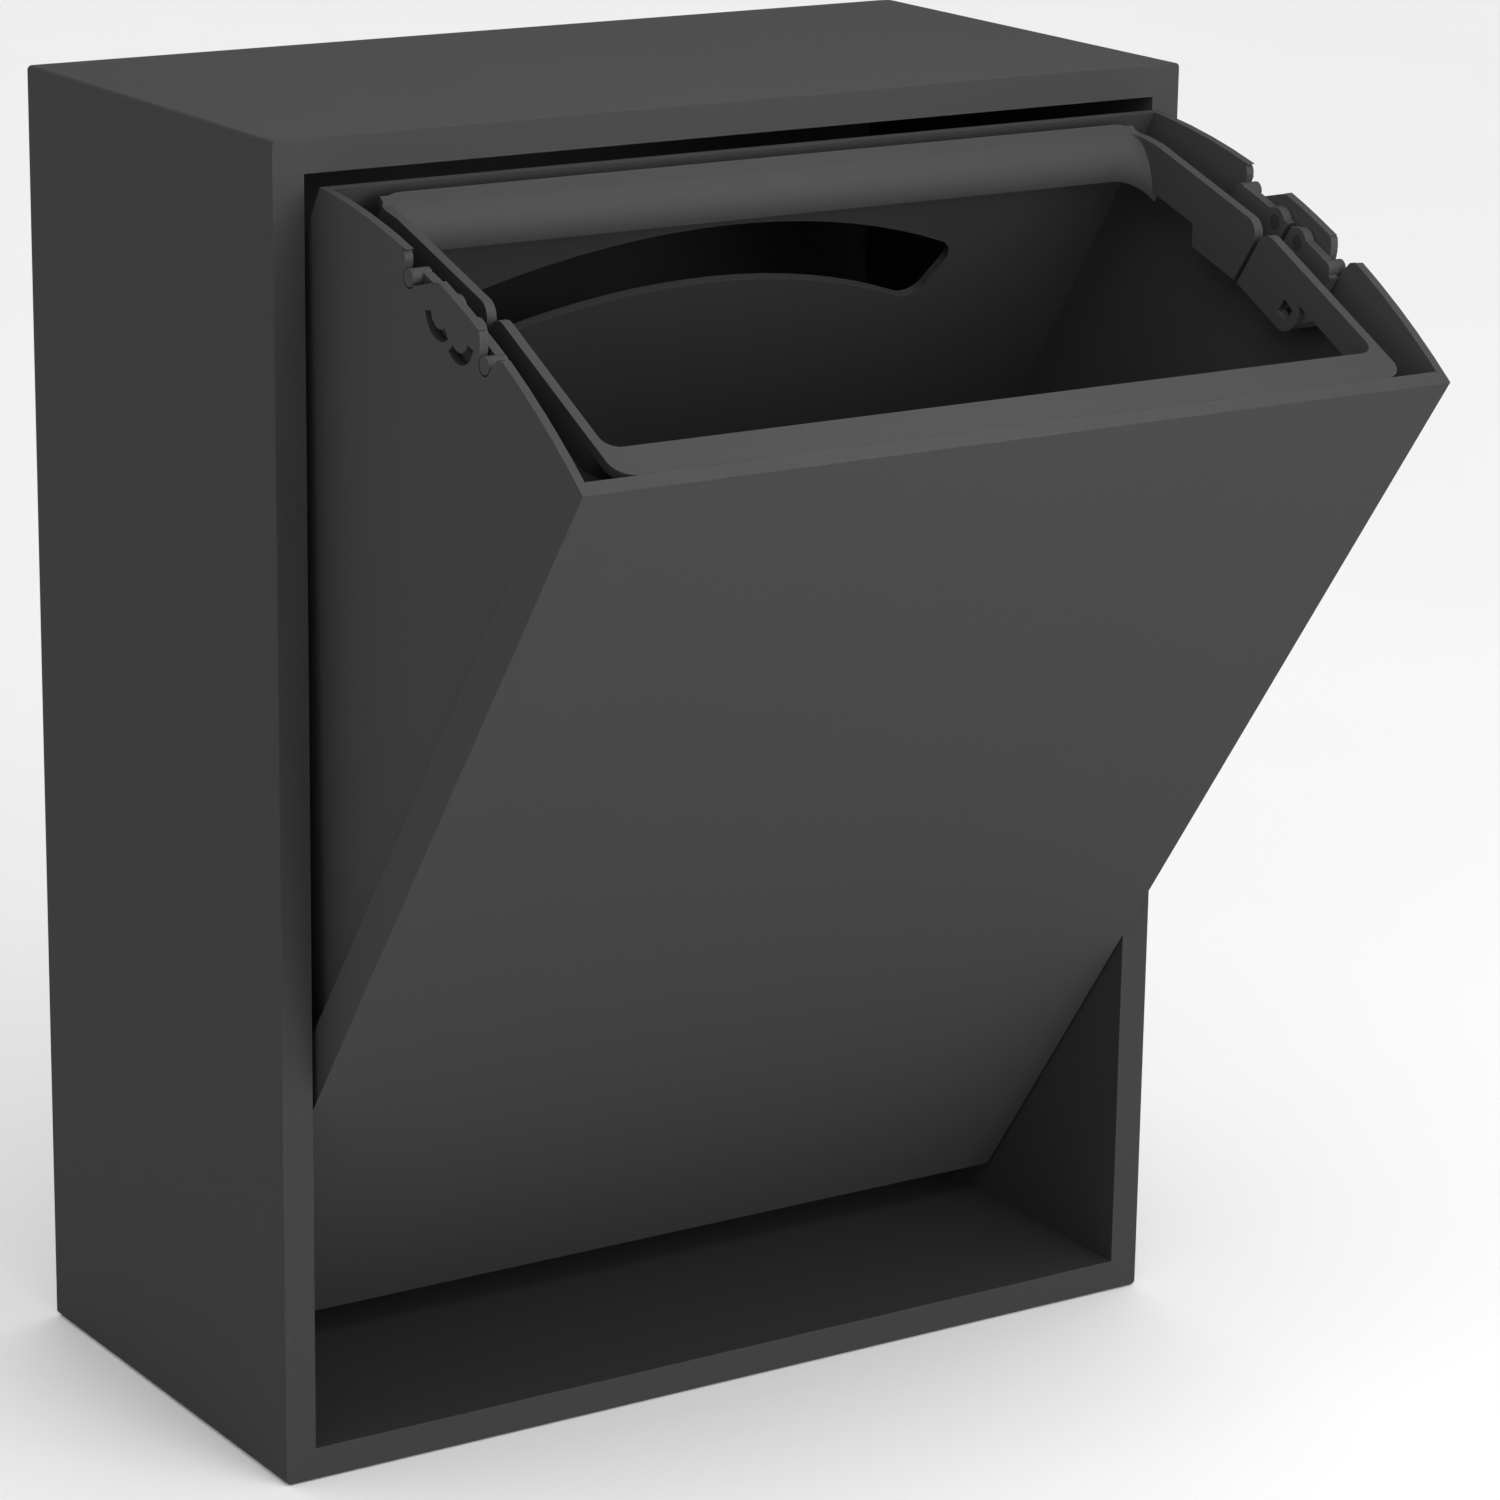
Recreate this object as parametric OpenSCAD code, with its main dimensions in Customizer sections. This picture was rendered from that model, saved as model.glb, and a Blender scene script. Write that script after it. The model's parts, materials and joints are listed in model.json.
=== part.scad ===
// Wall-hung waste bin whose container tilts out of an open-fronted cabinet.
// Two half frames in the container's mouth lift on hinge pins to clamp the edge of a bag.
// The origin is the centre of the cabinet's base: X to the right, Y back to the wall, Z up.
// The container is drawn in its open position.

/* [Cabinet] */
// Width of the cabinet
cabinet_w = 320; // [250:1:400]
// Height of the cabinet
cabinet_h = 410; // [340:1:500]
// Depth of the cabinet, from its front edge to the wall
cabinet_d = 160; // [132:1:200]
// Thickness of the cabinet's walls
wall = 10; // [9:0.5:14]
// Thickness of the back panel
back_t = 3; // [2:0.5:4]
// Width of the lip that the cabinet keeps round the back panel
back_lip = 3.5; // [2:0.5:4]
// Gap between the back panel's edge and the lip
back_fit = 0.3; // [0.1:0.1:0.5]
// Radius of the cabinet's four long outer edges
cabinet_r = 1.5; // [0.5:0.5:3]

/* [Wall fixing] */
// Distance between the wall screws, side to side
wall_hole_dx = 220; // [140:1:230]
// Distance between the wall screws, up and down
wall_hole_dz = 300; // [200:1:310]
// Radius of the wall screws' holes
wall_hole_r = 3; // [2:0.5:3.5]

/* [Tilt] */
// Height of the tilt axis above the cabinet's base
pivot_z = 128.4; // [110:0.1:145]
// Distance of the tilt axis behind the cabinet's front edge
pivot_back = 20; // [16:0.5:24]
// Lean of the container when it is open
open_angle = 35; // [25:0.5:38]
// Gap at each side of the container
side_gap = 1.8; // [1.5:0.1:3]
// Gap between the cabinet's ceiling and the container's rim as it swings past
top_gap = 2; // [1.5:0.1:5]
// Gap between the cabinet's floor and the front panel's lower edge as it swings past
floor_gap = 1.8; // [1:0.1:4]
// Gap between the back panel and the container's rear foot as it swings past
tail_gap = 2; // [1:0.1:5]
// Gap between the back panel and the closed container's rear rim
rear_gap = 3.5; // [3:0.1:6]

/* [Container] */
// Thickness of the container's front panel
panel_t = 4.5; // [3:0.1:6]
// Thickness of the container's other walls
bin_wall = 2.6; // [2:0.1:3.5]
// Distance that each side wall draws in between the rim and the panel's lower edge
side_taper = 6; // [0:0.5:8]
// Lean of the rear wall
rear_lean = 2.6; // [0:0.1:4]
// Depth of the front panel's side returns
return_d = 9; // [4:0.5:14]

/* [Hand slot] */
// Height of the hand slot
slot_h = 23.5; // [18:0.5:30]
// Radius of the hand slot's upper edge
slot_r = 217; // [180:1:260]
// Half of the angle that the hand slot spans
slot_half = 22.5; // [14:0.5:24]
// Radius of the hand slot's corners
slot_corner = 7; // [3:0.5:9]
// Distance of the hand slot's top below the rear rim
slot_drop = 28.5; // [20:0.5:40]

/* [Bag frames] */
// Distance between the container's side walls and the frames' arms
arm_gap = 10.9; // [9:0.1:14]
// Thickness of the frames' walls
frame_t = 3; // [2.5:0.1:4]
// Distance from the container's front face to the joint between the frames
split_from_front = 77.6; // [72:0.1:84]
// Gap between the two frames' arms
split_gap = 1.8; // [1.6:0.1:2.5]
// Gap between the front frame and the front panel
seat_gap = 0.4; // [0.3:0.1:1]
// Distance of the front frame's front edge below the rim
front_drop = 0.5; // [0.3:0.1:2]
// Distance of both frames below the rim where they meet
split_drop = 5.3; // [5:0.1:7]
// Distance of the rear frame's rear edge below the rim
rear_drop = 1.5; // [1:0.1:4]
// Width of the front frame's rail
front_rail_w = 12; // [9:0.5:16]
// Width of the rear frame's rail
rear_rail_w = 14.5; // [13:0.5:18]
// Radius of the rear rail's rounded inner face
cove_r = 10; // [8:0.5:11]
// Distance between the rear frame and the container's rear wall
rear_frame_gap = 4.4; // [3.5:0.1:8]
// Depth of the front frame's arms
front_arm_h = 10; // [8:0.5:12]
// Depth of the rear frame's arms
rear_arm_h = 15; // [12:0.5:17]
// Depth of both frames' arms beside the hinges
cheek_h = 22; // [21:0.5:26]
// Length of the deep part of each arm
cheek_l = 21; // [20:0.5:26]
// Radius of the front frame's outer corners
front_corner = 7; // [5:0.5:9]
// Radius of the rear frame's outer corners
rear_corner = 9; // [6:0.5:12]

/* [Frame hinges] */
// Distance from each hinge axis to the joint between the frames
hinge_out = 5.8; // [5.6:0.1:7]
// Distance of the hinge axes below the rim
hinge_drop = 7.8; // [7.4:0.1:9]
// Radius of the hinge pins
hinge_pin_r = 2.3; // [2:0.1:2.5]
// Distance from the front hinge axis to its seat peg
front_peg_reach = 14.3; // [13:0.1:16]
// Distance from the rear hinge axis to its seat peg
rear_peg_reach = 18; // [17:0.1:20]
// Distance of the seat pegs below the rim
peg_drop = 7.4; // [7:0.1:9]
// Radius of the seat pegs
peg_r = 2.6; // [2:0.1:3]
// Gap round a seat peg in its notch
peg_gap = 0.5; // [0.4:0.1:0.8]
// Thickness of the ears that hold the hinge pins
ear_t = 3; // [2.5:0.1:4]
// Gap between the ears and the container's side walls
ear_gap = 0.4; // [0.3:0.1:0.8]
// Depth of the ears' plates
ear_h = 15; // [12:0.5:18]
// Radius of the ears' outer corners
ear_r = 4; // [2:0.5:5]
// Radius of the arms' upper corners at the joint between the frames
arm_r = 5; // [3:0.5:6]
// Radius of the container's rim where it turns into a notch
rim_r = 3; // [1:0.5:4]

/* [Tilt pins] */
// Radius of the tilt pins
tilt_pin_r = 6; // [5:0.5:7]
// Radius of the tilt pins' knobs
knob_r = 10; // [9:0.5:12]
// Thickness of the tilt pins' knobs
knob_t = 5; // [4:0.5:8]
// Radial clearance of every pin that turns or slides
run_fit = 0.05; // [0.02:0.01:0.1]
// Radial clearance of every piece that is pressed in place
press_fit = 0.04; // [0.01:0.01:0.05]
// Depth of the bushes' pockets in the cabinet's sides
pocket_d = 7; // [6:0.5:7.5]
// Thickness of the bushes' sleeves
bush_t = 3; // [2:0.5:4]
// Thickness of the bushes' flanges
flange_t = 1.2; // [0.8:0.1:1.2]

/* [Stops] */
// Distance that the open stops stand in from the cabinet's sides
stop_w = 26; // [20:1:40]
// Length of the open stops along the container's underside
stop_l = 12; // [10:0.5:12]
// Thickness of the open stops
stop_t = 12; // [10:0.5:14]
// Thickness of the open stops' buffers
buffer_t = 3; // [2:0.5:4]
// Gap that is left at a stop
stop_gap = 0.4; // [0.3:0.1:0.6]
// Distance between the closing bumpers, side to side
bumper_dx = 180; // [120:1:220]
// Distance of the closing bumpers below the rear rim
bumper_drop = 16; // [12:1:30]
// Radius of the closing bumpers
bumper_r = 6; // [5:0.5:8]

/* [Screws] */
// Radius of the screws' shanks
screw_r = 1.5; // [1.25:0.05:1.75]
// Radius of the screws' heads
head_r = 2.6; // [2.4:0.1:2.8]
// Radius of the key sockets in the screws' heads, across the corners
key_r = 1.2; // [0.8:0.1:1.2]
// Depth of the key sockets
key_d = 1.2; // [0.8:0.1:1.5]
// Length of the back panel's screws
screw_l = 14; // [10:1:20]

/* [Hidden] */
$fn = 96;
body_col = "#3f4042";
frame_col = "#47484a";
bush_col = "#2b2b2d";
rubber_col = "#1c1c1d";
steel_col = "#b9bcc0";

// Cuts run past the faces that they cut by this much.
over = 1;
// Fastest way past everything along an axis.
far = 600;

// Cabinet, from the origin at the middle of its base.
front_y = -cabinet_d / 2;
back_y = cabinet_d / 2;
pivot_y = front_y + pivot_back;
panel_hole_in = (wall + back_lip) / 2;

// The container's frame has its origin on the tilt axis, with the container closed.
half_w = cabinet_w / 2 - wall - side_gap;
top_r = cabinet_h - wall - pivot_z - top_gap;
low_r = pivot_z - wall - floor_gap;
face_y = -pivot_back;
inner_y = face_y + panel_t;
panel_low = -sqrt(low_r * low_r - pivot_back * pivot_back);
function rim_z(y) = sqrt(top_r * top_r - y * y);
panel_top = rim_z(face_y);

// Rear wall and rear foot, which just clears the back panel as the container swings.
back_in = cabinet_d - back_t - pivot_back;
rear_top_y = back_in - rear_gap;
rear_top_z = rim_z(rear_top_y);
lean = tan(rear_lean);
function rear_y(z) = rear_top_y - lean * (rear_top_z - z);
foot_r = back_in - tail_gap;
level_y = rear_y(0);
foot_z = (-level_y * lean - sqrt(pow(level_y * lean, 2) - (1 + lean * lean) * (level_y * level_y - foot_r * foot_r)))
    / (1 + lean * lean);
foot_y = rear_y(foot_z);
floor_slope = atan2(foot_z - panel_low, foot_y - inner_y);

// Cavity of the container.
cavity_low = panel_low + bin_wall / cos(floor_slope);
rear_in = bin_wall / cos(rear_lean);
cavity_y = (rear_y(0) - rear_in + lean * (cavity_low - inner_y * tan(floor_slope))) / (1 - lean * tan(floor_slope));
cavity_z = cavity_low + (cavity_y - inner_y) * tan(floor_slope);
function side_x(z) = half_w - side_taper * (panel_top - z) / (panel_top - panel_low);

// Bag frames, which are chords of the rim's arc.
arm_x = half_w - bin_wall - arm_gap;
split_y = face_y + split_from_front;
front_end = split_y - split_gap / 2;
rear_end = split_y + split_gap / 2;
front_lip = inner_y + seat_gap;
front_open = front_lip + front_rail_w;
rear_lip = rear_y(rear_top_z) - rear_in - rear_frame_gap;
rear_open = rear_lip - rear_rail_w;
function chord(y, a, b, za, zb) = za + (zb - za) * (y - a) / (b - a);
function front_top(y) = chord(y, front_lip, split_y, rim_z(front_lip) - front_drop, rim_z(split_y) - split_drop);
front_slope = atan2(rim_z(split_y) - split_drop - rim_z(front_lip) + front_drop, split_y - front_lip);
rear_slope = atan2(rim_z(rear_lip) - rear_drop - rim_z(split_y) + split_drop, rear_lip - split_y);
function rear_top(y) = chord(y, split_y, rear_lip, rim_z(split_y) - split_drop, rim_z(rear_lip) - rear_drop);

// Hinges and seat pegs.
front_hinge = [split_y - hinge_out, rim_z(split_y - hinge_out) - hinge_drop];
rear_hinge = [split_y + hinge_out, rim_z(split_y + hinge_out) - hinge_drop];
front_peg = [front_hinge[0] - front_peg_reach, rim_z(front_hinge[0] - front_peg_reach) - peg_drop];
rear_peg = [rear_hinge[0] + rear_peg_reach, rim_z(rear_hinge[0] + rear_peg_reach) - peg_drop];
ear_drop = split_drop - 0.5;
ear_x = side_x(rear_peg[1] - cheek_h) - bin_wall - ear_gap;
pin_end = side_x(rear_hinge[1]) - 0.9;
boss_r = hinge_pin_r + 2.2;
relief_r = boss_r + 0.3;
relief_w = 3.4;
// The rim's rounds start this many degrees inside its edges, so that they cross them cleanly.
rim_dip = 7;

// Tilt pins, from the cabinet's side inwards.
pocket_x = cabinet_w / 2 - wall + pocket_d;
hub_x = half_w - 0.2;
hub_in = side_x(0) - bin_wall - 3;
hub_r = tilt_pin_r + 5;
pin_tip = pocket_x - 1;
ring_r = 1;
ring_x = hub_x - 3.2;

// Open stops, on the cabinet's sides behind the container's lower edge.
open_dir = floor_slope + open_angle;
stop_from = 8;
stop_x = cabinet_w / 2 - wall - stop_w;
stop_mid = under(stop_from + stop_l / 2, stop_gap + buffer_t + stop_t / 2);
function turned(p, a) = [p[0] * cos(a) - p[1] * sin(a), p[0] * sin(a) + p[1] * cos(a)];
// A point s along the open container's underside from its front and n below it.
function under(s, n) = [pivot_y, pivot_z] + turned([inner_y, panel_low], open_angle)
    + s * [cos(open_dir), sin(open_dir)] + n * [sin(open_dir), -cos(open_dir)];

module along_x(x0, x1) {
    translate([x0, 0, 0]) rotate([90, 0, 90]) linear_extrude(x1 - x0) children();
}

module along_y(y0, y1) {
    translate([0, y1, 0]) rotate([90, 0, 0]) linear_extrude(y1 - y0) children();
}

module along_z(z0, z1) {
    translate([0, 0, z0]) linear_extrude(z1 - z0) children();
}

// Both sides of the container, from what is drawn on its right.
module both_sides() {
    for (side = [0, 1]) mirror([side, 0, 0]) children();
}

// From the container's frame to its open place in the cabinet.
module opened() {
    translate([0, pivot_y, pivot_z]) rotate([open_angle, 0, 0]) children();
}

// A rod along X.
module rod(r, x0, x1) {
    translate([x0, 0, 0]) rotate([0, 90, 0]) cylinder(r = r, h = x1 - x0);
}

module at(p) {
    translate([0, p[0], p[1]]) children();
}

// Part of a ring, from angle a0 to a1, less than half a turn.
module ring_part(r_in, r_out, a0, a1) {
    reach = r_out / cos((a1 - a0) / 2) + over;
    intersection() {
        difference() {
            circle(r = r_out);
            circle(r = r_in);
        }
        polygon([[0, 0], reach * [cos(a0), sin(a0)], reach * [cos(a1), sin(a1)]]);
    }
}

// What a round of radius r takes off the corner k, whose edges lead away at angles a0 and a1.
module corner_waste(k, a0, a1, r) {
    half = (a1 - a0) / 2;
    middle = (a0 + a1) / 2;
    centre = k + r / sin(half) * [cos(middle), sin(middle)];
    reach = r / tan(half);
    difference() {
        polygon([
            k + reach * [cos(a0), sin(a0)], k - over * [cos(middle), sin(middle)],
            k + reach * [cos(a1), sin(a1)], centre
        ]);
        translate(centre) circle(r = r);
    }
}

// A rectangle from y0 to y1 whose two corners at y0 are rounded.
module round_front(x, y0, y1, r) {
    difference() {
        translate([-x, y0]) square([2 * x, y1 - y0]);
        for (side = [-1, 1]) difference() {
            translate([side * x - r, y0 - r]) square([2 * r, 2 * r]);
            translate([side * (x - r), y0 + r]) circle(r = r);
        }
    }
}

module cabinet_outline() {
    difference() {
        translate([-cabinet_w / 2, 0]) square([cabinet_w, cabinet_h]);
        for (side = [-1, 1]) for (top = [0, 1]) difference() {
            translate([side * cabinet_w / 2, top * cabinet_h]) square(2 * cabinet_r, center = true);
            translate([side * (cabinet_w / 2 - cabinet_r), top * cabinet_h - (2 * top - 1) * cabinet_r])
                circle(r = cabinet_r);
        }
    }
}

module back_outline(gap) {
    edge = back_lip + gap;
    translate([-cabinet_w / 2 + edge, edge]) square([cabinet_w - 2 * edge, cabinet_h - 2 * edge]);
}

// Places of the back panel's screws, three up each side and one at the middle of the top and floor.
module at_panel_screws() {
    for (side = [-1, 1]) for (z = [panel_hole_in + 20, cabinet_h / 2, cabinet_h - panel_hole_in - 20])
        translate([side * (cabinet_w / 2 - panel_hole_in), 0, z]) children();
    for (z = [panel_hole_in, cabinet_h - panel_hole_in]) translate([0, 0, z]) children();
}

// A countersunk screw that points along -Y, with its head's face at Y = 0.
module screw(r, head, length) {
    rotate([90, 0, 0]) difference() {
        union() {
            cylinder(r1 = head, r2 = r, h = head - r);
            cylinder(r = r, h = length);
        }
        translate([0, 0, -over]) cylinder(r = key_r, h = key_d + over, $fn = 6);
    }
}

module cabinet_shell() {
    color(body_col) difference() {
        along_y(front_y, back_y) cabinet_outline();
        along_y(front_y - over, back_y + over)
            translate([-cabinet_w / 2 + wall, wall]) square([cabinet_w - 2 * wall, cabinet_h - 2 * wall]);
        along_y(back_y - back_t - back_fit, back_y + over) back_outline(0);
        both_sides() at([pivot_y, pivot_z]) rod(tilt_pin_r + run_fit + bush_t + press_fit, pocket_x - pocket_d - over,
            pocket_x);
        translate([0, back_y, 0]) at_panel_screws() rotate([90, 0, 0]) cylinder(r = screw_r + run_fit, h = screw_l + over);
        both_sides() at(stop_mid) rod(screw_r + run_fit, stop_x, cabinet_w / 2 - 2);
    }
}

// A clear hole along -Y for such a screw.
module screw_hole(r, head, length) {
    rotate([90, 0, 0]) {
        cylinder(r1 = head, r2 = r, h = head - r);
        cylinder(r = r, h = length);
    }
}

module back_panel() {
    color(body_col) difference() {
        along_y(back_y - back_t, back_y) back_outline(back_fit);
        for (side = [-1, 1]) for (up = [-1, 1])
            translate([side * wall_hole_dx / 2, back_y + over, cabinet_h / 2 + up * wall_hole_dz / 2])
                rotate([90, 0, 0]) cylinder(r = wall_hole_r, h = back_t + 2 * over);
        translate([0, back_y, 0]) at_panel_screws() screw_hole(screw_r + 0.3, head_r + 0.3, back_t + over);
    }
}

module back_panel_screws() {
    color(steel_col) translate([0, back_y - 0.1, 0]) at_panel_screws() screw(screw_r, head_r, screw_l);
}

// A flanged bush in the right side's pocket.
module pivot_bush() {
    color(bush_col) at([pivot_y, pivot_z]) difference() {
        union() {
            rod(tilt_pin_r + run_fit + bush_t, pocket_x - pocket_d, pocket_x - 0.1);
            rod(tilt_pin_r + run_fit + bush_t + 2.5, pocket_x - pocket_d - flange_t, pocket_x - pocket_d - 0.05);
        }
        rod(tilt_pin_r + run_fit, pocket_x - pocket_d - flange_t - over, pocket_x + over);
    }
}

module left_pivot_bush() {
    mirror([1, 0, 0]) pivot_bush();
}

module right_pivot_bush() {
    pivot_bush();
}

// A stop block on the cabinet's right side, whose upper face lies along the open container's underside.
module stop_block() {
    color(body_col) difference() {
        along_x(stop_x, cabinet_w / 2 - wall) polygon([
            under(stop_from, stop_gap + buffer_t), under(stop_from + stop_l, stop_gap + buffer_t),
            under(stop_from + stop_l, stop_gap + buffer_t + stop_t), under(stop_from, stop_gap + buffer_t + stop_t)
        ]);
        at(stop_mid) translate([stop_x, 0, 0]) rotate([0, 0, 90])
            screw_hole(screw_r + 0.3, head_r + 0.3, stop_w + over);
    }
}

module left_stop_block() {
    mirror([1, 0, 0]) stop_block();
}

module right_stop_block() {
    stop_block();
}

module stop_block_screws() {
    color(steel_col) both_sides() at(stop_mid) translate([stop_x + 0.1, 0, 0]) rotate([0, 0, 90])
        screw(screw_r, head_r, stop_w + wall - 3);
}

module open_buffer() {
    color(rubber_col) along_x(stop_x + 2, cabinet_w / 2 - wall - 10) polygon([
        under(stop_from, stop_gap + buffer_t), under(stop_from + stop_l, stop_gap + buffer_t),
        under(stop_from + stop_l - 1, stop_gap), under(stop_from + 1, stop_gap)
    ]);
}

module left_open_buffer() {
    mirror([1, 0, 0]) open_buffer();
}

module right_open_buffer() {
    open_buffer();
}

// A bumper stuck to the back panel, just clear of the closed container.
module close_bumper(side) {
    z = rear_top_z - bumper_drop;
    tall = back_in - rear_y(z + bumper_r) - stop_gap;
    color(rubber_col) translate([side * bumper_dx / 2, back_y - back_t, pivot_z + z]) rotate([90, 0, 0]) {
        cylinder(r = bumper_r, h = tall / 2);
        cylinder(r = bumper_r - 1, h = tall);
    }
}

module left_close_bumper() {
    close_bumper(-1);
}

module right_close_bumper() {
    close_bumper(1);
}

// Space that a seat peg needs to drop in and lift out, round its hinge at h.
module peg_path(h, p, a0, a1) {
    reach = norm(p - h);
    free = peg_r + peg_gap;
    translate(p) circle(r = free);
    translate(h) ring_part(reach - free, reach + free, a0, a1);
}

// Where a line from p + [a, 0] to p + [b, rise] meets the rim, found in n steps from y.
function meet(p, a, b, rise, n, y) = n == 0 ? [y, rim_z(y)]
    : meet(p, a, b, rise, n - 1, p[0] + a + (b - a) * (rim_z(y) - p[1]) / rise);

// Rounds the rim where it turns down at k into a notch behind it, along an edge that leans out by lean degrees.
module round_before(k, edge_lean) {
    corner_waste(k, 180 - atan2(k[0], k[1]) + rim_dip, 270 + edge_lean - rim_dip, rim_r);
}

// The same where the rim starts again behind a notch.
module round_after(k, edge_lean) {
    corner_waste(k, 270 - edge_lean + rim_dip, 360 - atan2(k[0], k[1]) - rim_dip, rim_r);
}

// Notches in the rim for the seat pegs, with mouths that open towards the top.
module rim_notches() {
    front_turn = atan2(front_peg[1] - front_hinge[1], front_peg[0] - front_hinge[0]);
    rear_turn = atan2(rear_peg[1] - rear_hinge[1], rear_peg[0] - rear_hinge[0]);
    free = peg_r + peg_gap;
    peg_path(front_hinge, front_peg, front_turn - 85, front_turn);
    peg_path(rear_hinge, rear_peg, rear_turn, rear_turn + 85);
    translate(front_peg) polygon([[-free, 0], [-free - 2.2, 12], [free + 5.5, 12], [free, 2]]);
    translate(rear_peg) polygon([[-free, 0], [-free - 8, 9], [-free - 8, 16], [free + 0.8, 16], [free, 0]]);
    round_before(meet(front_peg, -free, -free - 2.2, 12, 6, front_peg[0] - free), atan2(2.2, 12));
    round_after(meet(front_peg, free - 1.1, free + 5.5, 12, 6, front_peg[0] + free), atan2(5.5, 10));
    round_before([rear_peg[0] - free - 8, rim_z(rear_peg[0] - free - 8)], 0);
    round_after(meet(rear_peg, free, free + 0.8, 16, 6, rear_peg[0] + free), atan2(0.8, 16));
}

module container_side() {
    intersection() {
        circle(r = top_r, $fn = 360);
        polygon([
            [face_y, panel_low], [inner_y, panel_low], [foot_y, foot_z],
            [rear_y(top_r), top_r], [face_y, top_r]
        ]);
    }
}

module cavity_side() {
    polygon([
        [inner_y, cavity_low], [cavity_y, cavity_z],
        [rear_y(top_r + over) - rear_in, top_r + over], [inner_y, top_r + over]
    ]);
}

// The container seen from the front, drawn in by `inset` all round its sides.
module tapered_front(inset) {
    z0 = panel_low - over;
    z1 = top_r + 2 * over;
    polygon([
        [-side_x(z0) + inset, z0], [side_x(z0) - inset, z0], [side_x(z1) - inset, z1], [-side_x(z1) + inset, z1]
    ]);
}

module hand_slot() {
    top = rear_top_z - slot_drop;
    low_slot = slot_r - slot_h;
    turn = asin(slot_corner / (slot_r - slot_h / 2));
    translate([0, top - slot_r]) {
        ring_part(low_slot, slot_r, 90 - slot_half, 90 + slot_half);
        ring_part(low_slot + slot_corner, slot_r - slot_corner, 90 - slot_half - turn, 90 + slot_half + turn);
        for (side = [-1, 1]) for (r = [low_slot + slot_corner, slot_r - slot_corner])
            rotate([0, 0, side * slot_half]) translate([0, r]) circle(r = slot_corner);
    }
}

module container() {
    color(body_col) opened() difference() {
        union() {
            difference() {
                intersection() {
                    along_x(-half_w, half_w) container_side();
                    along_y(face_y - over, back_in) tapered_front(0);
                }
                intersection() {
                    along_x(-half_w, half_w) cavity_side();
                    along_y(face_y - over, back_in) tapered_front(bin_wall);
                }
            }
            // The front panel keeps the full width, and returns along the sides.
            along_x(-half_w, half_w) intersection() {
                container_side();
                translate([face_y, panel_low]) square([panel_t, 2 * top_r]);
            }
            both_sides() along_x(half_w - bin_wall, half_w) intersection() {
                container_side();
                translate([face_y, panel_low]) square([panel_t + return_d, 2 * top_r]);
            }
            both_sides() rod(hub_r, hub_in, hub_x);
        }
        both_sides() rod(tilt_pin_r + run_fit, hub_in - over, hub_x + over);
        along_x(-half_w - over, half_w + over) rim_notches();
        both_sides() {
            at(front_hinge) rod(hinge_pin_r + run_fit, half_w - bin_wall - 2 * over, pin_end + 0.2);
            at(rear_hinge) rod(hinge_pin_r + run_fit, half_w - bin_wall - 2 * over, pin_end + 0.2);
            at(front_hinge) along_x(half_w - bin_wall - 2 * over, half_w + over)
                ring_part(relief_r, relief_r + relief_w, 165, 285);
            at(rear_hinge) along_x(half_w - bin_wall - 2 * over, half_w + over)
                ring_part(relief_r, relief_r + relief_w, 200, 320);
        }
        along_y(rear_y(0) - 4 * bin_wall, back_in + over) hand_slot();
    }
}

// A tilt pin at the container's right side, with a knob inside and a groove for its ring.
module tilt_pin() {
    color(bush_col) opened() difference() {
        union() {
            rod(tilt_pin_r, hub_in - 0.1 - knob_t, pin_tip - 1);
            translate([pin_tip - 1, 0, 0]) rotate([0, 90, 0]) cylinder(r1 = tilt_pin_r, r2 = tilt_pin_r - 1, h = 1);
            rod(knob_r, hub_in - 0.1 - knob_t, hub_in - 0.1);
        }
        translate([ring_x, 0, 0]) rotate([0, 90, 0]) rotate_extrude() translate([tilt_pin_r, 0]) circle(r = ring_r);
        for (side = [-1, 1]) translate([hub_in - knob_t - 0.1 - over, side * (knob_r / 2 + 1.5) - knob_r / 2 + 1, -knob_r])
            cube([over + knob_t - 2, knob_r - 2, 2 * knob_r]);
    }
}

module left_tilt_pin() {
    mirror([1, 0, 0]) tilt_pin();
}

module right_tilt_pin() {
    tilt_pin();
}

// A friction ring in the tilt pin's groove.
module pin_ring() {
    color(rubber_col) opened() translate([ring_x, 0, 0]) rotate([0, 90, 0]) rotate_extrude() intersection() {
        translate([tilt_pin_r, 0]) circle(r = ring_r - press_fit);
        translate([0, -ring_r]) square([tilt_pin_r, 2 * ring_r]);
    }
}

module left_pin_ring() {
    mirror([1, 0, 0]) pin_ring();
}

module right_pin_ring() {
    pin_ring();
}

// The front frame between y0 and y1, from d0 to d1 below its upper face.
module front_band(y0, y1, d0, d1) {
    polygon([
        [y0, front_top(y0) - d0], [y1, front_top(y1) - d0], [y1, front_top(y1) - d1], [y0, front_top(y0) - d1]
    ]);
}

module rear_band(y0, y1, d0, d1) {
    polygon([
        [y0, rear_top(y0) - d0], [y1, rear_top(y1) - d0], [y1, rear_top(y1) - d1], [y0, rear_top(y0) - d1]
    ]);
}

// An ear's plate, whose upper edge follows the rim's arc. Its outer end, at y1, may lie in front of y0.
module ear_plate(y0, y1) {
    out = sign(y1 - y0);
    intersection() {
        difference() {
            circle(r = top_r - ear_drop, $fn = 360);
            circle(r = top_r - ear_drop - ear_h, $fn = 360);
        }
        union() {
            translate([min(y0, y1 - out * ear_r), 0]) square([abs(y1 - y0) - ear_r, top_r]);
            translate([y1 - out * ear_r, rim_z(y1) - ear_drop - 1.7 * ear_r]) circle(r = ear_r);
            translate([min(y1, y1 - out * ear_r), 0]) square([ear_r, rim_z(y1) - ear_drop - 1.7 * ear_r]);
        }
    }
}

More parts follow.
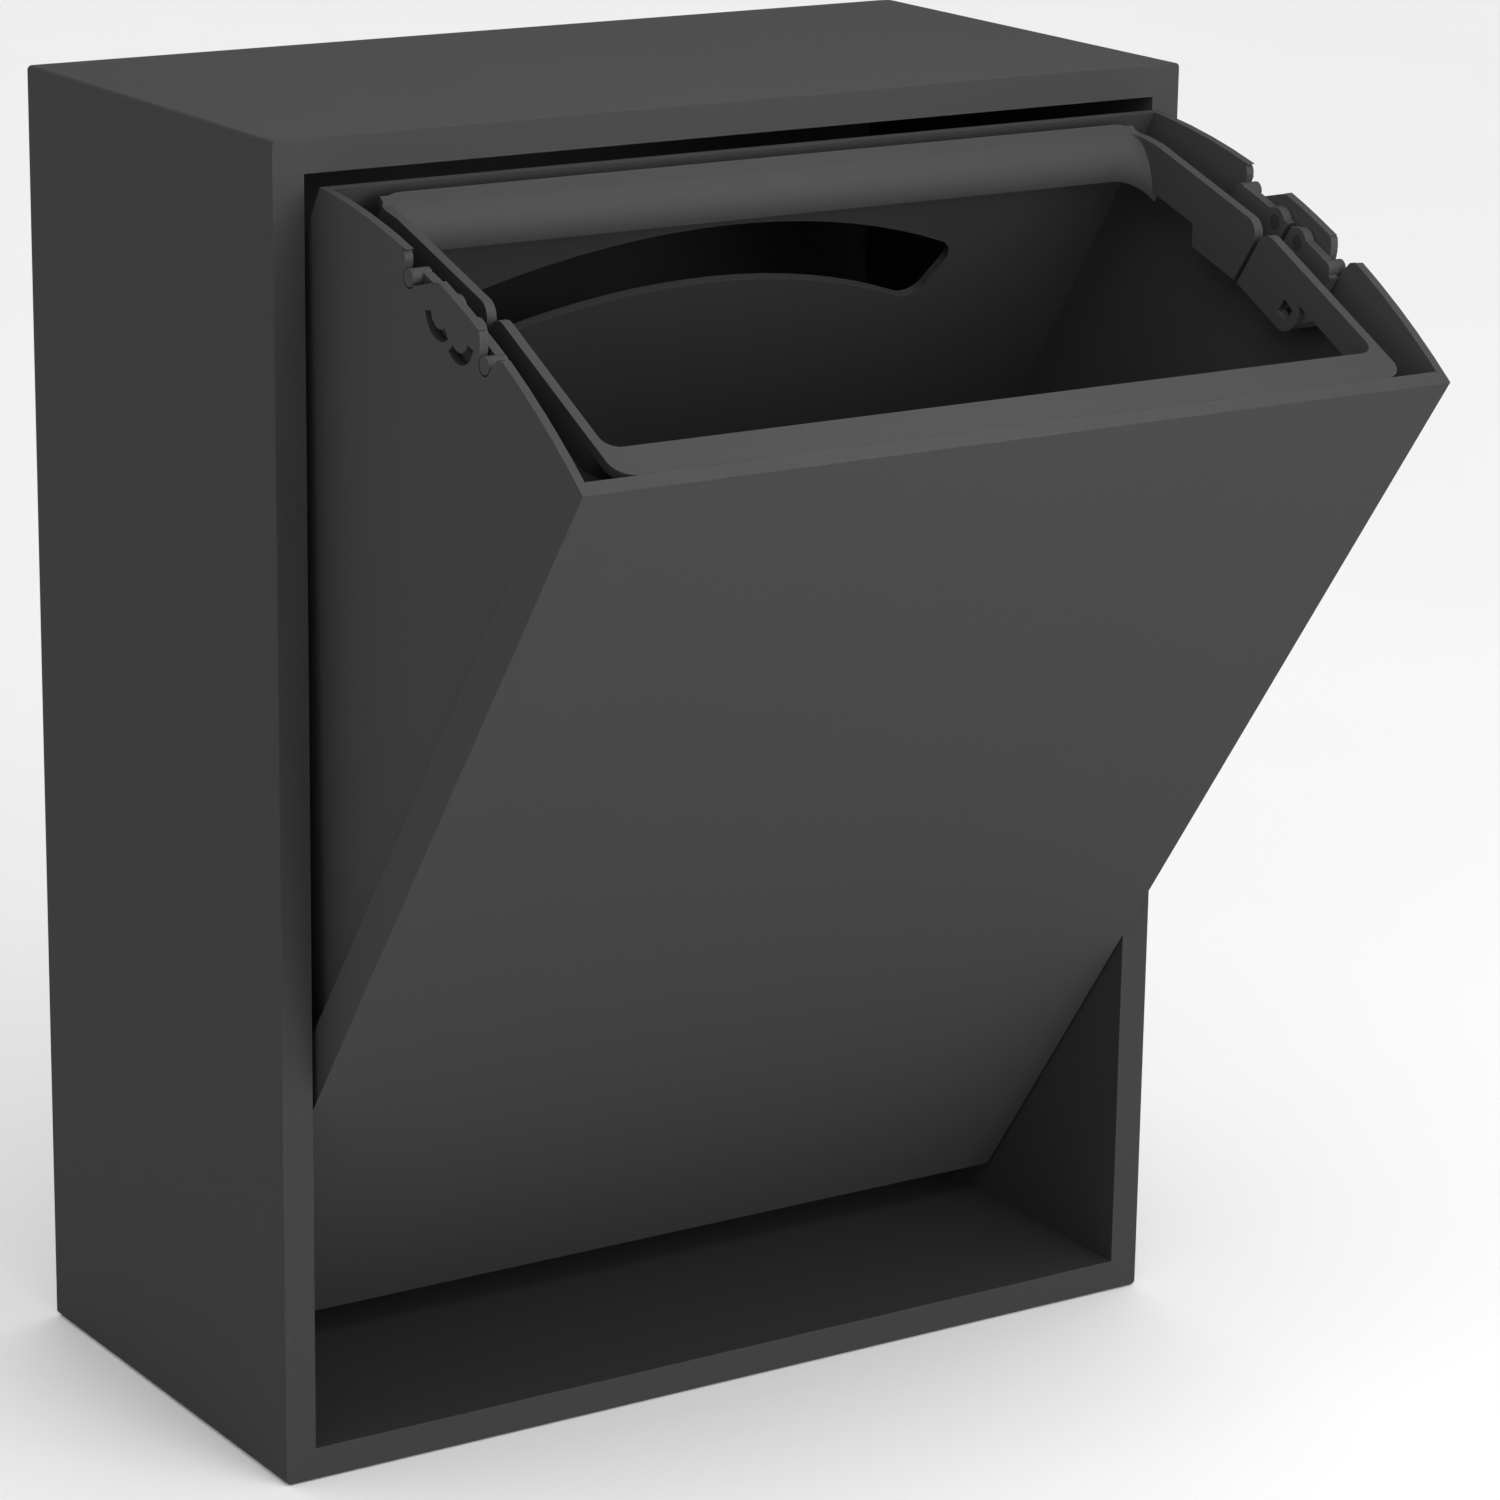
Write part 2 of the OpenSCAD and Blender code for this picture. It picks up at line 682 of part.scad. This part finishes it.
module front_bag_frame() {
    cheek_y = front_end - cheek_l;
    leg_y = front_peg[0] - 4;
    shelf = front_top(leg_y) - cheek_h + 5;
    in_x = arm_x - frame_t;
    color(frame_col) opened() difference() {
        union() {
            // Rail and arms, one plate thick.
            intersection() {
                along_z(0, top_r) difference() {
                    round_front(arm_x, front_lip, front_end, front_corner);
                    round_front(arm_x - frame_t, front_open, front_end + over, front_corner - 2);
                }
                along_x(-arm_x, arm_x) front_band(front_lip, front_end, 0, frame_t);
            }
            // Skirt round the opening.
            intersection() {
                along_z(0, top_r) difference() {
                    round_front(arm_x, front_open - frame_t, front_end, front_corner);
                    round_front(arm_x - frame_t, front_open, front_end + over, front_corner - 2);
                }
                along_x(-arm_x, arm_x) front_band(front_lip, front_end, 0, front_arm_h);
            }
            both_sides() {
                // Cheek beside the hinge, which ends in a round eye.
                along_x(arm_x - frame_t, arm_x) {
                    front_band(cheek_y, front_end, 0, cheek_h);
                    translate([cheek_y, front_top(cheek_y) - cheek_h + 7]) circle(r = 7);
                }
                // Ear that holds the hinge pin, its leg, and the shelf that joins both to the arm.
                along_x(ear_x - ear_t, ear_x) {
                    ear_plate(front_end, front_peg[0] - peg_r);
                    translate(front_hinge) circle(r = boss_r);
                    translate([leg_y, shelf]) square([5, front_peg[1] - shelf]);
                }
                along_x(arm_x - over, ear_x - over) translate([leg_y - 5, shelf]) square([10, 2.5]);
                // Seat peg.
                at(front_peg) rod(peg_r, ear_x - ear_t, half_w - 0.3);
            }
        }
        both_sides() {
            at(front_hinge) rod(hinge_pin_r + press_fit, ear_x - ear_t - over, ear_x + over);
            along_x(in_x - over, arm_x + over)
                corner_waste([front_end, front_top(front_end)], 180 + front_slope, 270, arm_r);
            at([cheek_y - 1, front_top(cheek_y) - cheek_h + 7]) translate([arm_x - frame_t - over, -2.5, -2.5])
                cube([frame_t + 2 * over, 5, 5]);
        }
    }
}

// Section of the rear rail's rounded inner face, about the centre of its round.
module cove_section() {
    intersection() {
        difference() {
            circle(r = cove_r);
            circle(r = cove_r - frame_t + 0.3);
        }
        translate([-cove_r, 0]) square(cove_r);
    }
}

module rear_bag_frame() {
    rail_z = rear_top(rear_lip);
    step_y = rear_end + cheek_l;
    leg_y = rear_peg[0] - 5;
    shelf = rear_top(leg_y) - cheek_h + 2;
    in_x = arm_x - frame_t;
    turn = cove_r;
    color(frame_col) opened() difference() {
        union() {
            // Arms and rear skirt, one wall that turns the rear corners.
            intersection() {
                along_z(0, top_r) mirror([0, 1, 0]) difference() {
                    round_front(arm_x, -rear_lip, -rear_end, rear_corner);
                    round_front(in_x, -rear_lip + frame_t, -rear_end + over, rear_corner - frame_t);
                }
                along_x(-arm_x, arm_x) polygon([
                    [rear_end, rear_top(rear_end)], [rear_open, rear_top(rear_open)],
                    [rear_lip - rear_corner / 2, rail_z], [rear_lip, rail_z], [rear_lip, rail_z - cove_r],
                    [rear_open, rear_top(rear_open) - rear_arm_h],
                    [step_y + 4, rear_top(step_y + 4) - rear_arm_h],
                    [step_y, rear_top(step_y) - cheek_h], [rear_end, rear_top(rear_end) - cheek_h]
                ]);
            }
            // Rail, flat behind and rounded in front.
            along_x(-in_x - over, in_x + over) {
                translate([rear_open + cove_r, rail_z - frame_t + 0.3])
                    square([rear_lip - rear_open - cove_r - over, frame_t - 0.3]);
                translate([rear_open + cove_r, rail_z - cove_r]) cove_section();
            }
            // The rail's round face turns into the arms.
            both_sides() intersection() {
                translate([in_x - turn, rear_open - turn, rail_z - cove_r])
                    rotate_extrude() translate([turn + cove_r, 0]) cove_section();
                translate([in_x - turn, rear_open - turn, 0]) cube([turn + over, turn + cove_r + over, far]);
            }
            both_sides() {
                along_x(ear_x - ear_t, ear_x) {
                    ear_plate(rear_end, rear_peg[0] + peg_r);
                    translate(rear_hinge) circle(r = boss_r);
                    translate([leg_y, shelf]) square([5, rear_peg[1] - shelf]);
                }
                along_x(arm_x - over, ear_x - over) translate([leg_y - 5, shelf]) square([10, 2.5]);
                at(rear_peg) rod(peg_r, ear_x - ear_t, half_w - 0.3);
            }
        }
        both_sides() at(rear_hinge) rod(hinge_pin_r + press_fit, ear_x - ear_t - over, ear_x + over);
        along_x(-arm_x - over, arm_x + over)
            corner_waste([rear_end, rear_top(rear_end)], 270, 360 + rear_slope, arm_r);
    }
}

// A hinge pin at the container's right side, pressed into an ear and turning in the side wall.
module hinge_pin(p) {
    color(steel_col) opened() at(p) {
        rod(hinge_pin_r, ear_x - ear_t, pin_end);
    }
}

module front_left_hinge_pin() {
    mirror([1, 0, 0]) hinge_pin(front_hinge);
}

module front_right_hinge_pin() {
    hinge_pin(front_hinge);
}

module rear_left_hinge_pin() {
    mirror([1, 0, 0]) hinge_pin(rear_hinge);
}

module rear_right_hinge_pin() {
    hinge_pin(rear_hinge);
}

cabinet_shell();
back_panel();
back_panel_screws();
left_pivot_bush();
right_pivot_bush();
left_stop_block();
right_stop_block();
stop_block_screws();
left_open_buffer();
right_open_buffer();
left_close_bumper();
right_close_bumper();
container();
left_tilt_pin();
right_tilt_pin();
left_pin_ring();
right_pin_ring();
front_bag_frame();
front_left_hinge_pin();
front_right_hinge_pin();
rear_bag_frame();
rear_left_hinge_pin();
rear_right_hinge_pin();
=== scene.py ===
# %% [markdown]
# # A wall-hung waste bin with a tilting container
# The bin is an open-fronted cabinet made of thick moulded boards. A container hangs inside it on two
# side pins and leans out when its top is pulled. Two half frames in the container's mouth clamp a bag.
# The exact solids are already made. This lesson rounds their edges and gives every surface its finish.

# %% Start
import json
import math

import bmesh
import bpy
from mathutils import Euler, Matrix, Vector


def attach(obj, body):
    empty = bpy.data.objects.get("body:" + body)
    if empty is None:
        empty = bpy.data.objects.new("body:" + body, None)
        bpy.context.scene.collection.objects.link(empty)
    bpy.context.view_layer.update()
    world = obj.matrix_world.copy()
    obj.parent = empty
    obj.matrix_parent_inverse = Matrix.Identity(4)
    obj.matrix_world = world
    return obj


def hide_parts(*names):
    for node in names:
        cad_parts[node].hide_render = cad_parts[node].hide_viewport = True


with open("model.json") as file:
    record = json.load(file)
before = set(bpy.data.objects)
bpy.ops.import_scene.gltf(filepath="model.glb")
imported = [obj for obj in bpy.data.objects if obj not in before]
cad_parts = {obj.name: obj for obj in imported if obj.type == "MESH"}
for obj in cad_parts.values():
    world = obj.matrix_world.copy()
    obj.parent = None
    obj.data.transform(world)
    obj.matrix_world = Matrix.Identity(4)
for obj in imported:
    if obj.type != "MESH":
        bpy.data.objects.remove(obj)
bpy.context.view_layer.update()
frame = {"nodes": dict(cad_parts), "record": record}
nodes = frame["nodes"]

# %% [markdown]
# ## A small language for shaders
# Node trees are easier to read as sums than as boxes and wires. One class wraps a socket, so that
# `grain * 0.3 + 0.5` makes the two Math nodes that it describes. Colours and vectors go through Mix and
# Vector Math nodes, and one method makes any other node from its settings and its inputs.

# %% Sockets as values
class Value:
    """A node's output that can be added, subtracted and multiplied like a number."""

    def __init__(self, tree, socket):
        self.tree, self.socket = tree, socket

    def node(self, kind, settings=None, inputs=None, out=0):
        made = self.tree.nodes.new(kind)
        for name, value in (settings or {}).items():
            setattr(made, name, value)
        for name, value in (inputs or {}).items():
            if isinstance(value, Value):
                self.tree.links.new(value.socket, made.inputs[name])
            else:
                made.inputs[name].default_value = value
        return Value(self.tree, made.outputs[out])

    def math(self, operation, a, b):
        return self.node("ShaderNodeMath", {"operation": operation}, {0: a, 1: b})

    def __add__(self, other):
        return self.math("ADD", self, other)

    def __radd__(self, other):
        return self.math("ADD", other, self)

    def __sub__(self, other):
        return self.math("SUBTRACT", self, other)

    def __rsub__(self, other):
        return self.math("SUBTRACT", other, self)

    def __mul__(self, other):
        return self.math("MULTIPLY", self, other)

    def __rmul__(self, other):
        return self.math("MULTIPLY", other, self)

    def ramp(self, low, high):
        """0 at low and 1 at high, smooth between them."""
        return self.node("ShaderNodeMapRange", {"interpolation_type": "SMOOTHSTEP"},
                         {"Value": self, "From Min": low, "From Max": high})

    def mix(self, a, b):
        """Colour a where this is 0 and colour b where it is 1."""
        # The Mix node keeps its two colours in inputs 6 and 7 and the mixed colour in output 2.
        return self.node("ShaderNodeMix", {"data_type": "RGBA"}, {0: self, 6: a, 7: b}, out=2)

    def scaled(self, x, y, z):
        return self.node("ShaderNodeVectorMath", {"operation": "MULTIPLY"}, {0: self, 1: (x, y, z)})


def start(name):
    """An empty material with its shader, its output and the object's own coordinates."""
    material = bpy.data.materials.new(name)
    material.use_nodes = True
    tree = material.node_tree
    tree.nodes.clear()
    shader = tree.nodes.new("ShaderNodeBsdfPrincipled")
    output = tree.nodes.new("ShaderNodeOutputMaterial")
    tree.links.new(shader.outputs[0], output.inputs["Surface"])
    place = tree.nodes.new("ShaderNodeTexCoord").outputs["Object"]
    return material, shader, Value(tree, place)


def feed(shader, **inputs):
    """Sets or links the shader's inputs; an underscore in a name stands for a space."""
    for name, value in inputs.items():
        socket = shader.inputs[name.replace("_", " ")]
        if isinstance(value, Value):
            value.tree.links.new(value.socket, socket)
        else:
            socket.default_value = value


def noise(place, scale, detail=2.0, rough=0.5):
    return place.node("ShaderNodeTexNoise", None,
                      {"Vector": place, "Scale": scale, "Detail": detail, "Roughness": rough})


def bumped(height, strength, distance):
    return height.node("ShaderNodeBump", None,
                       {"Strength": strength, "Distance": distance, "Height": height})


def grey(level, warm=0.0):
    """A grey, redder and less blue as warm grows."""
    return (level * (1 + warm), level, level * (1 - warm), 1.0)


print("shader tools ready")

# %% [markdown]
# ## Charcoal moulded plastic
# The cabinet, the container and the frames are dyed right through and moulded against a spark-eroded
# steel tool, which leaves a fine even grain with no direction. Three things make it read as plastic: a
# grain of about half a millimetre in the bump, a slow change of roughness where hands and cloths have
# polished it, and paler edges where the grain has rubbed flat. A few specks of dust finish it.
#
# The edges could be found with the Pointiness output, but that spreads out over large flat faces and
# leaves blotches. The Bevel node gives the direction that a face would have if its edges were round, so
# wherever that differs from the face's own direction there is an edge.

# %% Charcoal plastic
edge_width = 0.0012
bump_depth = 0.0004


def near_edges(place, radius):
    """1 within about the radius of an edge and 0 on open faces."""
    rounded = place.node("ShaderNodeBevel", {"samples": 4}, {"Radius": radius})
    plain = place.node("ShaderNodeNewGeometry", out="Normal")
    agree = place.node("ShaderNodeVectorMath", {"operation": "DOT_PRODUCT"},
                       {0: rounded, 1: plain}, out="Value")
    return (1.0 - agree).ramp(low=0.01, high=0.12)


def plastic(name, level, roughness, grain=0.05, grain_size=0.0006, dust=0.15):
    material, shader, place = start(name)
    fine = noise(place, 1 / grain_size, detail=2.0, rough=0.6)
    pores = place.node("ShaderNodeTexVoronoi", {"feature": "F1"},
                       {"Vector": place, "Scale": 0.7 / grain_size})
    cloud = noise(place, scale=9.0, detail=4.0, rough=0.55)
    smear = noise(place.scaled(1.0, 1.0, 0.25), scale=26.0, detail=3.0, rough=0.6)
    edge = near_edges(place, edge_width)
    speck = noise(place, scale=420.0, detail=1.0).ramp(low=0.70, high=0.78)
    worn = edge * noise(place, scale=60.0, detail=3.0).ramp(low=0.40, high=0.70)
    base = cloud.ramp(low=0.2, high=0.8).mix(grey(level * 0.985), grey(level * 1.015))
    base = (worn * 0.35).mix(base, grey(level * 1.7))
    base = (speck * dust * smear).mix(base, grey(level * 2.4, warm=0.02))
    rough = roughness + (cloud - 0.5) * 0.04 + (smear - 0.5) * 0.03 - worn * 0.08
    bump = bumped(fine * 0.6 + pores * 0.4, strength=grain, distance=bump_depth)
    feed(shader, Base_Color=base, Roughness=rough, Normal=bump, IOR=1.46, Specular_IOR_Level=0.22)
    return material


looks = {
    "cabinet_plastic": plastic("cabinet_plastic", level=0.027, roughness=0.78),
    "container_plastic": plastic("container_plastic", level=0.030, roughness=0.78),
    "frame_plastic": plastic("frame_plastic", level=0.030, roughness=0.74, grain=0.035),
    "bush_plastic": plastic("bush_plastic", level=0.022, roughness=0.42, grain=0.02),
}
print("plastics:", ", ".join(looks))

# %% [markdown]
# ## Rubber
# The buffers, the bumpers and the rings are soft rubber. It is darker and duller than the plastic, with
# a powdery bloom in patches and the small pits of a cheap mould. One noise draws the bloom and also
# changes the roughness, so the paler patches are the duller ones, as they are on real rubber.

# %% Rubber
def rubber():
    material, shader, place = start("rubber")
    bloom = noise(place, scale=70.0, detail=4.0, rough=0.65)
    pits = noise(place, scale=900.0, detail=2.0).ramp(low=0.35, high=0.5)
    base = bloom.ramp(low=0.45, high=0.75).mix(grey(0.014), grey(0.030, warm=0.03))
    bump = bumped(pits, strength=0.12, distance=0.0003)
    feed(shader, Base_Color=base, Roughness=0.78 + (bloom - 0.5) * 0.2, Normal=bump)
    return material


looks["rubber"] = rubber()
print("rubber made")

# %% [markdown]
# ## Zinc-plated steel
# Screws and hinge pins are turned or drawn and then plated. Fine rings run round the pins, which lie
# along X, so the noise in the bump is squeezed forty times along X. The plating is cloudy with a few
# dull spots, so its colour and its roughness change together. The shader's Metallic input does the rest.

# %% Steel
def steel():
    material, shader, place = start("steel")
    rings = noise(place.scaled(40.0, 1.0, 1.0), scale=90.0, detail=2.0)
    cloud = noise(place, scale=160.0, detail=3.0, rough=0.6)
    spots = noise(place, scale=700.0).ramp(low=0.62, high=0.7)
    base = cloud.mix(grey(0.50, warm=-0.02), grey(0.64, warm=0.01))
    bump = bumped(rings, strength=0.10, distance=0.0001)
    feed(shader, Base_Color=base, Roughness=0.26 + cloud * 0.16 + spots * 0.2, Metallic=1.0, Normal=bump)
    return material


looks["steel"] = steel()
print("steel made")

# %% [markdown]
# ## Every piece takes its finish
# The record says which finish each solid wears, so the finishes go on by name. Picking faces by hand
# would work too, but it would have to be done again whenever a solid changed.

# %% Finishes on the solids
slot_of = {s["node"]: s["material_slot"] for s in frame["record"]["subparts"]}
for name, solid in nodes.items():
    solid.data.materials.clear()
    solid.data.materials.append(looks[slot_of[name]])
print(len(nodes), "solids have their finishes")

# %% [markdown]
# ## Moulded edges
# A sharp edge never leaves a mould: plastic shrinks round it and a tool can't be cut to zero radius.
# Each visible moulding is shown by a softened copy of its solid. The copy's loose corners are welded,
# flat faces are cleaned of their triangles, and a Bevel modifier cuts a small round into every edge that
# turns by more than thirty degrees. Weighted normals then keep the flat faces flat.

# %% Softened mouldings
weld_distance = 2e-6
flat_angle = math.radians(0.4)
sharp_angle = math.radians(30.0)
edge_radius = {
    "cabinet_shell": 0.0010,
    "container": 0.0010,
    "front_bag_frame": 0.0006,
    "rear_bag_frame": 0.0006,
    "back_panel": 0.0004,
    "left_stop_block": 0.0006,
    "right_stop_block": 0.0006,
}
body_of = {node: body for body, group in frame["record"]["behaviour"]["bodies"].items() for node in group}


def moulded(name, radius):
    solid = nodes[name]
    soft = bpy.data.objects.new(name + "_moulded", solid.data.copy())
    bpy.context.scene.collection.objects.link(soft)
    work = bmesh.new()
    work.from_mesh(soft.data)
    bmesh.ops.remove_doubles(work, verts=work.verts, dist=weld_distance)
    bmesh.ops.dissolve_limit(work, angle_limit=flat_angle, verts=work.verts, edges=work.edges)
    for face in work.faces:
        face.smooth = True
    work.to_mesh(soft.data)
    work.free()
    bevel = soft.modifiers.new("edges", "BEVEL")
    bevel.width = radius
    bevel.segments = 3
    bevel.limit_method = "ANGLE"
    bevel.angle_limit = sharp_angle
    bevel.harden_normals = False
    weighted = soft.modifiers.new("flat faces", "WEIGHTED_NORMAL")
    weighted.keep_sharp = False
    weighted.weight = 100
    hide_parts(name)
    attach(soft, body_of[name])
    print(f"{name}: {len(soft.data.polygons)} faces, edges rounded by {radius * 1000:.1f} mm")


for name, radius in edge_radius.items():
    moulded(name, radius)

# %% [markdown]
# ## Floor and sky
# A dark matt object needs broad soft light, or its faces merge into one another. The floor is plain and
# pale, and the even white sky lights every side a little. A picture of a studio could stand in for the
# sky, but one plain colour is easier to judge and to change.

# %% Floor and sky
floor_half_side = 14.0
floor_drop = 0.0005
sky_strength = 0.95

floor_mesh = bpy.data.meshes.new("floor")
work = bmesh.new()
bmesh.ops.create_grid(work, x_segments=2, y_segments=2, size=floor_half_side)
work.to_mesh(floor_mesh)
work.free()
floor = bpy.data.objects.new("floor", floor_mesh)
bpy.context.scene.collection.objects.link(floor)
floor.location.z = -floor_drop
pale, shader, place = start("pale_floor")
feed(shader, Base_Color=noise(place, scale=3.0).mix(grey(0.86), grey(0.90)), Roughness=0.8)
floor_mesh.materials.append(pale)

world = bpy.data.worlds.new("sky")
bpy.context.scene.world = world
world.use_nodes = True
sky = world.node_tree.nodes["Background"]
sky.inputs["Color"].default_value = (1.0, 1.0, 1.0, 1.0)
sky.inputs["Strength"].default_value = sky_strength
print("floor", 2 * floor_half_side, "m wide, sky strength", sky_strength)

# %% [markdown]
# ## Lamps
# Four square lamps shape the bin. A wide weak one overhead lights the top. A wide one in front and to
# the right favours the front panel over the left side. A lower one in front reaches into the space under
# the container, and a small one above the mouth reaches down inside it. The camera doesn't see them.

# %% Lamps
def lamp(name, place, target, size, power):
    light = bpy.data.lights.new(name, "AREA")
    light.shape = "SQUARE"
    light.size = size
    light.energy = power
    made = bpy.data.objects.new(name, light)
    made.location = place
    made.visible_camera = False
    made.rotation_euler = (Vector(target) - Vector(place)).to_track_quat("-Z", "Y").to_euler()
    bpy.context.scene.collection.objects.link(made)
    print(f"{name}: {size} m wide, {power} W")


lamp("top_lamp", place=(0.8, -0.6, 2.4), target=(0.0, 0.0, 0.2), size=2.2, power=2.0)
lamp("front_lamp", place=(1.0, -2.8, 0.9), target=(0.0, 0.0, 0.15), size=2.0, power=16.0)
lamp("low_lamp", place=(0.1, -1.9, 0.42), target=(0.0, -0.05, 0.06), size=0.9, power=17.0)
lamp("mouth_lamp", place=(0.0, -0.36, 0.56), target=(0.0, -0.02, 0.28), size=0.3, power=1.0)

# %% [markdown]
# ## Camera
# A long lens from a little above the top, turned a third of a right angle to the left, shows the front,
# the left side and the container's mouth in one view. A shorter lens from nearer would do the same, but
# it would make the upright edges lean together.

# %% Camera
camera_place = (-0.844, -1.383, 0.655)
camera_turn = (1.290983, -0.014139, -0.572531)
middle = Vector((0, 0, 0.2))

lens = bpy.data.cameras.new("camera")
camera = bpy.data.objects.new("camera", lens)
bpy.context.scene.collection.objects.link(camera)
lens.lens = 125.9
lens.sensor_width = 36.0
lens.clip_start = 0.05
lens.clip_end = 60.0
camera.location = camera_place
camera.rotation_euler = Euler(camera_turn)
bpy.context.scene.camera = camera
bpy.context.scene.view_settings.view_transform = "Standard"
print("camera", round((camera.location - middle).length, 3), "m from the middle")
